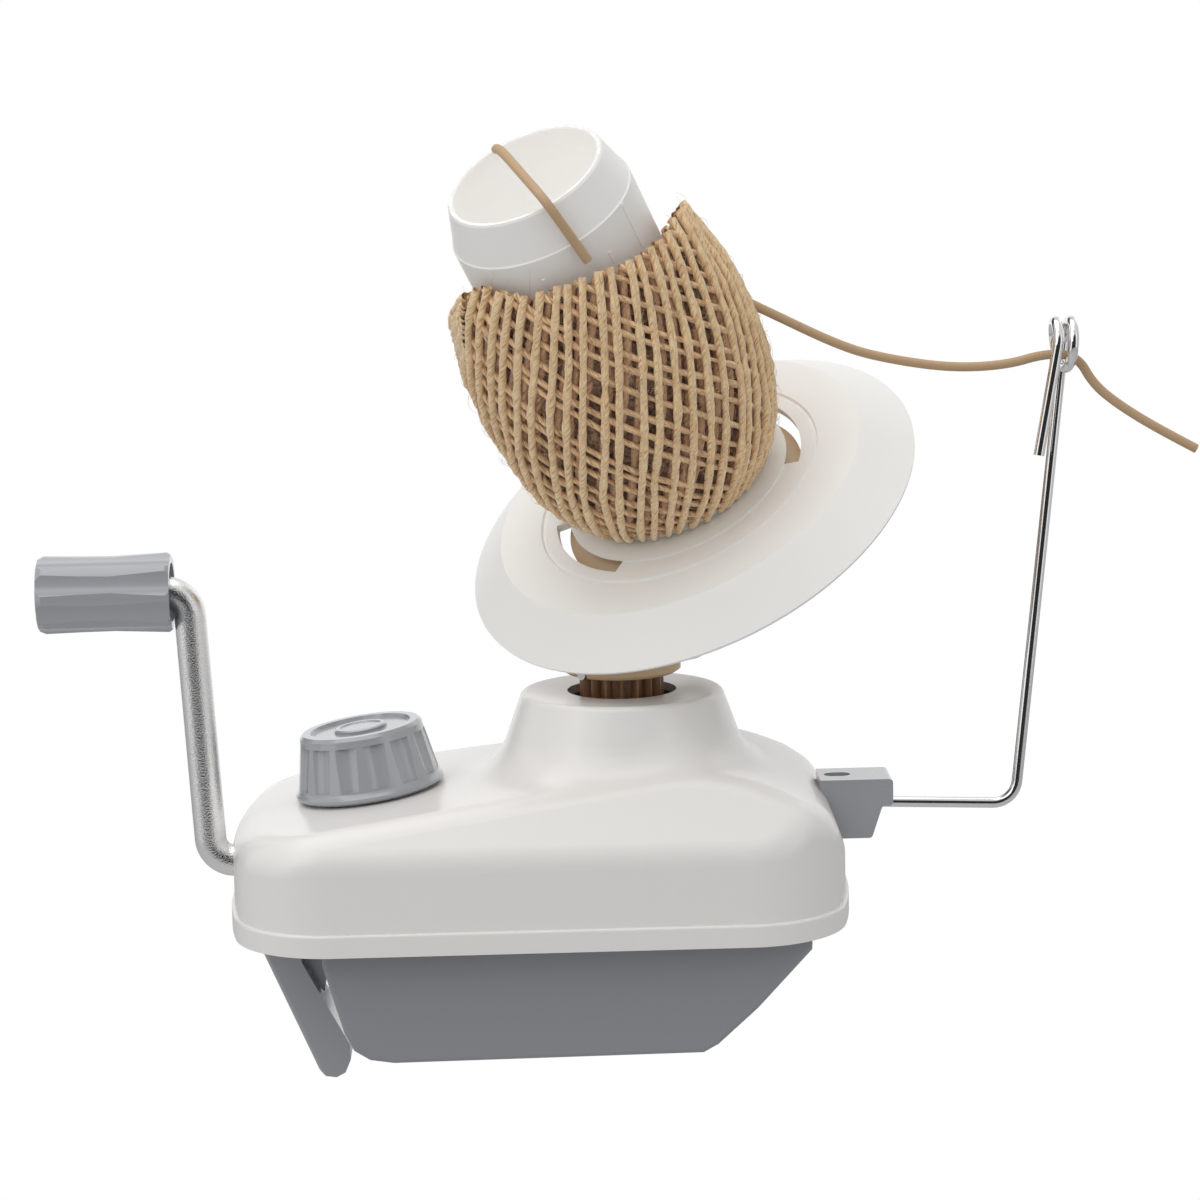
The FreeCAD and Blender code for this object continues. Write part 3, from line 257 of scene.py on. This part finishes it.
def make_world():
    """White behind the winder, soft grey all round, and panels that only mirrors see."""
    world = bpy.data.worlds.new("studio")
    bpy.context.scene.world = world
    world.use_nodes = True
    tree = world.node_tree
    tree.nodes.clear()
    coords = tree.nodes.new("ShaderNodeTexCoord").outputs
    x, y, z = add_node(tree, "ShaderNodeSeparateXYZ", {0: coords["Generated"]}).outputs
    behind = ramp_between(tree, y, *WHITE_BEHIND)
    grey = maths(tree, "MULTIPLY_ADD", z, (WORLD_HIGH - WORLD_LOW) / 2, (WORLD_HIGH + WORLD_LOW) / 2)
    bearing = maths(tree, "ARCTAN2", x, maths(tree, "MULTIPLY", y, -1.0))
    below_top = maths(tree, "SUBTRACT", 1.0, ramp_between(tree, z, *PANEL_TOP))
    glossy = tree.nodes.new("ShaderNodeLightPath").outputs["Is Glossy Ray"]
    mirrored = maths(tree, "MULTIPLY", below_top, glossy)
    for panels, gain in ((DARK_PANELS, DARK_GAIN), (BRIGHT_PANELS, BRIGHT_GAIN)):
        share = maths(tree, "MULTIPLY", panel_mask(tree, bearing, panels), mirrored)
        grey = maths(tree, "MULTIPLY", grey, maths(tree, "MULTIPLY_ADD", share, gain, 1.0))
    strength = add_node(tree, "ShaderNodeMix", {"Factor": behind, "A": grey, "B": 1.0})
    sky = add_node(tree, "ShaderNodeBackground",
                   {"Color": (1, 1, 1, 1), "Strength": strength.outputs["Result"]})
    add_node(tree, "ShaderNodeOutputWorld", {"Surface": sky.outputs[0]})


# ---- finishes --------------------------------------------------------------------------
def linear(rgb):
    """Linear colour, with full alpha, of an sRGB triple in 0..255."""
    parts = [c / 255 / 12.92 if c <= 10 else ((c / 255 + 0.055) / 1.055) ** 2.4 for c in rgb]
    return (*parts, 1)


def finish(name, inputs):
    """A material whose surface has these plain values."""
    material = bpy.data.materials.new(name)
    material.use_nodes = True
    surface = material.node_tree.nodes["Principled BSDF"]
    for socket, value in inputs.items():
        surface.inputs[socket].default_value = value
    return material, surface


def add_grain(material, surface, scale, strength, depth):
    """Gives a material its own values of the fine grain."""
    tree = material.node_tree
    grain = place_group(tree, FINE_GRAIN, {"Scale": scale, "Strength": strength, "Depth": depth})
    tree.links.new(grain["Normal"], surface.inputs["Normal"])


def plastic(name, rgb, roughness, coat=0.0, subsurface=0.0):
    material, surface = finish(name, {
        "Base Color": linear(rgb), "Roughness": roughness, "Coat Weight": coat, "Coat Roughness": 0.12,
        "Subsurface Weight": subsurface, "Subsurface Radius": (1, 1, 1), "Subsurface Scale": 0.003})
    add_grain(material, surface, *MOULDED_GRAIN)
    return material


def metal(name, rgb, roughness, grain=DRAWN_GRAIN):
    material, surface = finish(name, {"Base Color": linear(rgb), "Metallic": 1.0, "Roughness": roughness})
    add_grain(material, surface, *grain)
    return material


def jute(name, light, dark, around):
    """Twine whose streaks follow each strand."""
    material, surface = finish(name, {"Roughness": 0.85, "Specular IOR Level": 0.25, "Sheen Weight": 0.5})
    tree = material.node_tree
    fibres = place_group(tree, JUTE_FIBRES, {"Light": linear(light), "Dark": linear(dark),
                                             "Along": STREAKS_ALONG, "Around": around})
    tree.links.new(fibres["Color"], surface.inputs["Base Color"])
    tree.links.new(fibres["Normal"], surface.inputs["Normal"])
    return material


def core_jute_painted_shade():
    """The matt twine behind the strands: its mottling is random tone, and its dark brown is painted shade
    in the gaps between them.
    """
    material, surface = finish("jute_core_mottle_painted_shade", {"Roughness": 0.95})
    tree = material.node_tree
    coords = tree.nodes.new("ShaderNodeTexCoord").outputs
    noise = add_node(tree, "ShaderNodeTexNoise",
                     {"Vector": coords["Object"], "Scale": 900.0, "Detail": 5.0})
    ramp = add_node(tree, "ShaderNodeValToRGB", {"Fac": noise.outputs["Fac"]})
    dark, light = ramp.color_ramp.elements
    # both ends are far darker than the strands: painted shade for the gaps
    dark.position, dark.color = 0.38, linear((100, 78, 66))
    light.position, light.color = 0.64, linear((172, 142, 118))
    tree.links.new(ramp.outputs["Color"], surface.inputs["Base Color"])
    return material


def cup_painted_glow():
    """The spool's thin white wall inside the cup, with a painted glow (emission) that stands in for the
    light outside shining through it.
    """
    material, _ = finish("spool_inside_painted_glow", {
        "Base Color": linear((243, 242, 240)), "Roughness": 0.5,
        "Emission Color": (1, 0.985, 0.96, 1), "Emission Strength": 0.135})
    return material


def floor_paint():
    """Pale grey, and plain white where the camera looks straight at it."""
    material, surface = finish("pale_floor", {"Base Color": linear(FLOOR_GREY), "Roughness": 1.0})
    tree = material.node_tree
    white = add_node(tree, "ShaderNodeEmission", {"Color": (1, 1, 1, 1), "Strength": 1.0})
    seen = tree.nodes.new("ShaderNodeLightPath").outputs["Is Camera Ray"]
    mix = add_node(tree, "ShaderNodeMixShader", {0: seen, 1: surface.outputs[0], 2: white.outputs[0]})
    tree.links.new(mix.outputs[0], tree.nodes["Material Output"].inputs["Surface"])
    return material


def paint_nodes():
    """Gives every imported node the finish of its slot."""
    for part in frame["record"]["subparts"]:
        mesh = nodes[part["node"]].data
        mesh.materials.clear()
        mesh.materials.append(FINISHES[part["material_slot"]])


def second_finish(node, material, chosen):
    """Gives the faces that the test picks a finish of their own."""
    mesh = nodes[node].data
    mesh.materials.append(material)
    for face in mesh.polygons:
        if chosen(np.array(face.center) / MM, np.array(face.normal)):
            face.material_index = 1


def in_the_cup(place, normal):
    """The middle of the cup's floor, and the spool's faces above it that look inward."""
    up = (place - APEX) @ AXIS
    out = place - APEX - AXIS * up
    return up > CUP_FLOOR and (np.linalg.norm(out) < FLOOR_MIDDLE_R or normal @ out < 0)


def on_the_teeth(place, _):
    """The pinion below its collar, where the neck's mouth shades it."""
    return place[2] < TEETH_TOP_Z


# ---- meshes ----------------------------------------------------------------------------
def mesh_object(name, verts, faces, material, uvs=None, smooth=True):
    mesh = bpy.data.meshes.new(name)
    mesh.from_pydata((np.asarray(verts) * MM).tolist(), [], faces)
    if uvs is not None:
        layer = mesh.uv_layers.new(name="UVMap")
        loops = np.empty(len(mesh.loops), dtype=np.int64)
        mesh.loops.foreach_get("vertex_index", loops)
        layer.data.foreach_set("uv", np.asarray(uvs, dtype=np.float32)[loops].ravel())
    mesh.polygons.foreach_set("use_smooth", [smooth] * len(mesh.polygons))
    mesh.materials.append(material)
    obj = bpy.data.objects.new(name, mesh)
    bpy.context.collection.objects.link(obj)
    return obj


def pale_floor():
    """A plain floor well below the clamp."""
    corners = [(x * FLOOR_HALF, y * FLOOR_HALF, FLOOR_Z) for x, y in ((-1, -1), (1, -1), (1, 1), (-1, 1))]
    mesh_object("floor", corners, [(0, 1, 2, 3)], floor_paint(), smooth=False)


def cone_place(radius, angle, along):
    """World points of places on the cone."""
    radius, angle, along = (np.asarray(x, dtype=float)[..., None] for x in (radius, angle, along))
    return APEX + AXIS * along + radius * (DOWNHILL * np.cos(angle) + ACROSS * np.sin(angle))


def outward_from_axis(angle):
    """Unit vectors away from the cone's axis."""
    return cone_place(np.ones_like(angle), angle, np.zeros_like(angle)) - APEX


def run_lengths(points):
    """Distance from the first point to each point along a line."""
    steps = np.linalg.norm(np.diff(points, axis=0), axis=1)
    return np.concatenate([[0.0], np.cumsum(steps)])


def ring_faces(rings, sides):
    """Quads between rings of vertices that follow one another."""
    first = np.arange(rings - 1)[:, None] * sides
    here = np.arange(sides)[None, :]
    there = (here + 1) % sides
    return np.stack([first + here, first + there, first + sides + there, first + sides + here],
                    axis=-1).reshape(-1, 4)


def strand_mesh(points, radii, outward, sides, swell, u_start):
    """Vertices, faces and UVs of a strand whose two plies wind round each other."""
    tangent = np.gradient(points, axis=0)
    tangent /= np.linalg.norm(tangent, axis=1, keepdims=True)
    normal = outward - tangent * (outward * tangent).sum(axis=1, keepdims=True)
    normal /= np.linalg.norm(normal, axis=1, keepdims=True)
    binormal = np.cross(tangent, normal)
    length = run_lengths(points) + u_start
    around = np.linspace(0, 2 * math.pi, sides, endpoint=False)
    phase = length[:, None] * PLY_TWIST
    ring = radii[:, None] * (1.0 + swell * np.cos(2 * (around[None, :] - phase)))
    spoke = (np.cos(around)[None, :, None] * normal[:, None, :]
             + np.sin(around)[None, :, None] * binormal[:, None, :])
    verts = points[:, None, :] + ring[..., None] * spoke
    u = np.repeat((length * MM)[:, None], sides, axis=1)
    v = (around[None, :] - phase) / (2 * math.pi)
    return verts.reshape(-1, 3), ring_faces(len(points), sides), np.stack([u, v], axis=-1).reshape(-1, 2)


def twine_piece(name, strands, material):
    """One piece made of many strands, which turns with the cone."""
    verts, faces, uvs = [], [], []
    count = 0
    for strand_verts, strand_faces, strand_uvs in strands:
        verts.append(strand_verts)
        faces.append(strand_faces + count)
        uvs.append(strand_uvs)
        count += len(strand_verts)
    piece = mesh_object(name, np.concatenate(verts), np.concatenate(faces).tolist(), material,
                        np.concatenate(uvs))
    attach(piece, "cone")


# ---- wound twine -----------------------------------------------------------------------
def ball_profile(inward):
    """Even steps along the ball's smooth outline from foot to top, moved inward."""
    pts = np.array(BALL)
    share = np.linspace(0, 1, OUTLINE_POINTS, endpoint=False)[:, None]
    pieces = []
    for i in range(len(pts) - 1):
        p0, p1 = pts[max(i - 1, 0)], pts[i]
        p2, p3 = pts[i + 1], pts[min(i + 2, len(pts) - 1)]
        pieces.append(0.5 * (2 * p1 + (p2 - p0) * share
                             + (2 * p0 - 5 * p1 + 4 * p2 - p3) * share ** 2
                             + (3 * p1 - p0 - 3 * p2 + p3) * share ** 3))
    dense = np.concatenate(pieces + [pts[-1:]])
    run = run_lengths(dense)
    even = np.arange(0, run[-1], STEP)
    line = np.stack([np.interp(even, run, dense[:, 0]), np.interp(even, run, dense[:, 1])], axis=1)
    slope = np.gradient(line, axis=0)
    slope /= np.linalg.norm(slope, axis=1, keepdims=True)
    return line + np.stack([-slope[:, 1], slope[:, 0]], axis=1) * inward


def radius_at(line, along):
    """The radius of an outline at a distance along the axis."""
    return np.interp(along, line[:, 1], line[:, 0])


def rim_height(radius, angle):
    """How far up the axis the wound twine reaches at a radius and an angle."""
    across = radius * np.cos(angle - RIGHT)
    return np.interp(across, RIM[:, 0], RIM[:, 1]) + RIM_FALL * radius * np.cos(angle - FRONT)


def wander(rng, count, knots, amount):
    """A slow random drift along a strand."""
    return amount * np.interp(np.arange(count), np.linspace(0, count, knots), rng.normal(0, 1, knots))


def up_to_the_rim(radius, angle, along, depth):
    """Ends a strand where it meets the slanting rim."""
    above = np.nonzero(along > rim_height(radius, angle) - depth)[0]
    last = max(above[0] if len(above) else len(along), 4)
    return np.maximum(radius[:last], SPOOL_R + SPOOL_GAP), angle[:last], along[:last]


def twine_strand(rng, radius, angle, along, thick):
    """One strand of slightly uneven thickness through places on the cone."""
    size = thick * (1 + wander(rng, len(radius), *SIZE_DRIFT))
    return strand_mesh(cone_place(radius, angle, along), size, outward_from_axis(angle),
                       STRAND_SIDES, PLY_SWELL, rng.uniform(0, 900))


def wound_layer(name, count, lean, inward, thick, seed, material, wave=0.35):
    """One layer of strands that run over the ball from foot to rim, leaning by a share."""
    rng = np.random.default_rng(seed)
    line = ball_profile(inward)
    samples = len(line)
    turn = np.cumsum(lean * STEP / line[:, 0])
    strands = []
    for i in range(count):
        angle = (i + rng.normal(0, SPACING_ERROR)) * 2 * math.pi / count + turn - turn[samples // 2]
        angle = angle + wander(rng, samples, SIDE_KNOTS, wave) / line[:, 0]
        radius = line[:, 0] + wander(rng, samples, *HEIGHT_DRIFT)
        places = up_to_the_rim(radius, angle, line[:, 1], RIM_DROP * inward)
        strands.append(twine_strand(rng, *places, thick))
    twine_piece(name, strands, material)


def shoulder_wraps():
    """Strands bunched along the rim where the winding turns back at the left shoulder."""
    rng = np.random.default_rng(21)
    line = ball_profile(1.0)
    strands = []
    for share in np.arange(WRAPS) / (WRAPS - 1):
        past, sweep, below, droop = FIRST_WRAP + (LAST_WRAP - FIRST_WRAP) * share
        angle = RIGHT + math.pi + past - np.linspace(0, sweep, WRAP_POINTS)
        fall = below + droop * np.linspace(0, 1, WRAP_POINTS) ** 2
        along = np.full(WRAP_POINTS, RIM_GUESS)
        for _ in range(RIM_ROUNDS):
            along = rim_height(radius_at(line, along), angle) - fall
        along = along + wander(rng, WRAP_POINTS, *WRAP_DRIFT)
        radius = radius_at(line, along) + WRAP_LIFT
        strands.append(twine_strand(rng, radius, angle, along, WRAP_THICK))
    twine_piece("twine_shoulder", strands, FINISHES["jute_twine"])


def fuzz():
    """Fine loose fibres that stand off the twine."""
    rng = np.random.default_rng(11)
    line = ball_profile(0.4)
    share = np.linspace(0, 1, HAIR_POINTS)
    hairs = []
    for _ in range(HAIRS):
        start = rng.integers(3, len(line) - 3)
        angle = rng.uniform(0, 2 * math.pi)
        radius, along = line[start]
        if along > rim_height(radius, angle) - HAIR_BELOW_RIM:
            continue
        heading = rng.uniform(0, 2 * math.pi)
        step = rng.uniform(*HAIR_LENGTH) / (HAIR_POINTS - 1)
        way = heading + rng.normal(0, HAIR_BEND) * share
        aside = np.concatenate([[0], np.cumsum(np.cos(way[:-1]) * step)])
        upward = np.concatenate([[0], np.cumsum(np.sin(way[:-1]) * step)])
        lift = rng.uniform(*HAIR_SINK) + rng.uniform(*HAIR_ARCH) * np.sin(math.pi * share)
        angles = angle + aside / radius
        points = cone_place(radius_at(line, along + upward) + lift, angles, along + upward)
        radii = HAIR_R * (1 - HAIR_TAPER * share)
        hairs.append(strand_mesh(points, radii, outward_from_axis(angles), HAIR_SIDES, 0.0, 0.0))
    twine_piece("twine_fuzz", hairs, plastic("jute_hair", (214, 184, 140), 0.8))


def ball_core():
    """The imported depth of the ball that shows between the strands."""
    line = ball_profile(CORE_INWARD)[2::3]
    spin = np.linspace(0, 2 * math.pi, CORE_SIDES, endpoint=False)[None, :]
    radius = np.repeat(line[:, :1], CORE_SIDES, axis=1)
    along = np.minimum(line[:, 1:], rim_height(radius, spin) - CORE_BELOW_RIM)
    verts = cone_place(radius, np.repeat(spin, len(line), axis=0), along).reshape(-1, 3)
    core = mesh_object("ball_core", verts, ring_faces(len(line), CORE_SIDES).tolist(), core_jute_painted_shade())
    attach(core, "cone")
    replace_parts(core, "yarn_ball")


def wound_ball():
    """The ball from its core outwards."""
    ball_core()
    # the deeper layers take darker copies of the twine's colours: painted shade under the outer strands
    wound_layer("twine_deep", 44, 0.5, 3.1, 1.05, 5,
                jute("jute_under_painted_shade", (222, 180, 140), (140, 106, 84), 7.0))
    wound_layer("twine_cross", 38, -0.82, 1.9, 0.75, 3,
                jute("jute_cross_painted_shade", (252, 216, 168), (170, 126, 92), 8.0), 0.5)
    wound_layer("twine_outer", 45, 0.43, 1.0, 0.98, 7, FINISHES["jute_twine"])
    shoulder_wraps()
    fuzz()


# ---- loose yarn ------------------------------------------------------------------------
def yarn_curve(name, points, body):
    """A round yarn along the clamped quadratic curve of its control points."""
    data = bpy.data.curves.new(name, "CURVE")
    data.dimensions = "3D"
    data.bevel_depth = YARN_R * MM
    data.bevel_resolution = 6
    data.use_fill_caps = True
    spline = data.splines.new("NURBS")
    spline.points.add(len(points) - 1)
    for slot, point in zip(spline.points, points):
        slot.co = (*(np.asarray(point) * MM), 1)
    spline.order_u = 3
    spline.use_endpoint_u = True
    spline.resolution_u = 12
    data.materials.append(FINISHES["strand_yarn"])
    yarn = bpy.data.objects.new(name, data)
    bpy.context.collection.objects.link(yarn)
    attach(yarn, body)
    return yarn


def with_tight_corner(points, at):
    """The same control points, with the runs beside one corner kept straight up to its bend."""
    pts = [np.array(point, dtype=float) for point in points]
    last, corner, following = pts[at - 1:at + 2]
    back, onward = last - corner, following - corner
    reach = CORNER_SHARE * min(np.linalg.norm(back), np.linalg.norm(onward))
    start = corner + back / np.linalg.norm(back) * reach
    end = corner + onward / np.linalg.norm(onward) * reach
    return pts[:at] + [start, start, corner, end, end] + pts[at + 1:]


def loose_cord(name, points, body, node):
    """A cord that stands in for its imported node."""
    cord = yarn_curve(name, points, body)
    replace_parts(cord, node)


def loose_yarn():
    """The running strand, the tail over the spool, and the lead, which is too short for a cord."""
    tail = [cone_place(radius, math.radians(angle), along) for radius, angle, along in TAIL_ON_CONE]
    loose_cord("loose_strand", STRAND, "housing", "yarn_strand")
    loose_cord("loose_tail", with_tight_corner(tail, TAIL_RIM_CORNER), "cone", "yarn_tail")
    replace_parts(yarn_curve("loose_lead", LEAD, "cone"), "yarn_lead")


# ---- scene -----------------------------------------------------------------------------
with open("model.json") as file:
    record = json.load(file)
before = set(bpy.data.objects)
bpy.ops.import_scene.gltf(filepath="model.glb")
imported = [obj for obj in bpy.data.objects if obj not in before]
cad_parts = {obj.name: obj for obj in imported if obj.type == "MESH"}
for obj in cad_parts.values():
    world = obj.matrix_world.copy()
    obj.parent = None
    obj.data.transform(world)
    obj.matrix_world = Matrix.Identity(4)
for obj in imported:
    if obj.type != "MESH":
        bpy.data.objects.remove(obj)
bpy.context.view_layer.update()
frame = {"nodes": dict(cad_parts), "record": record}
nodes = frame["nodes"]

FINE_GRAIN = fine_grain()
JUTE_FIBRES = jute_fibres()
FINISHES = {
    "housing_white": plastic("housing_white", (236, 234, 231), 0.26, coat=0.15, subsurface=0.05),
    "disc_white": plastic("disc_white", (243, 242, 239), 0.42, subsurface=0.05),
    "grey_plastic": plastic("grey_plastic", (160, 163, 168), 0.24, coat=0.8),
    "jaw_grey": plastic("jaw_grey", (146, 149, 153), 0.40),
    "tan_plastic": plastic("tan_plastic", (208, 180, 146), 0.45),
    "chrome_rod": metal("chrome_rod", (236, 236, 236), 0.10, ROD_GRAIN),
    "chrome_wire": metal("chrome_wire", (235, 235, 235), 0.12),
    "zinc_steel": metal("zinc_steel", (200, 200, 198), 0.35),
    "jute_twine": jute("jute_twine", (255, 229, 184), (205, 155, 106), 9.0),
    "strand_yarn": plastic("strand_yarn", (190, 160, 125), 0.7),
    "pad_rubber": plastic("pad_rubber", (50, 50, 50), 0.8),
}

make_camera()
make_world()
pale_floor()
for lamp in LIGHTS:
    soft_light(*lamp)
paint_nodes()
# the inside of the cup gets a painted glow for the light that shines through its thin wall
second_finish("spool", cup_painted_glow(), in_the_cup)
# the teeth get a darker, glossier brown of the same tan plastic: painted shade from the neck's mouth
second_finish("drive_pinion", plastic("teeth_painted_shade", (146, 108, 76), 0.3, coat=0.3), on_the_teeth)
wound_ball()
loose_yarn()
bpy.context.scene.view_settings.view_transform = "Standard"
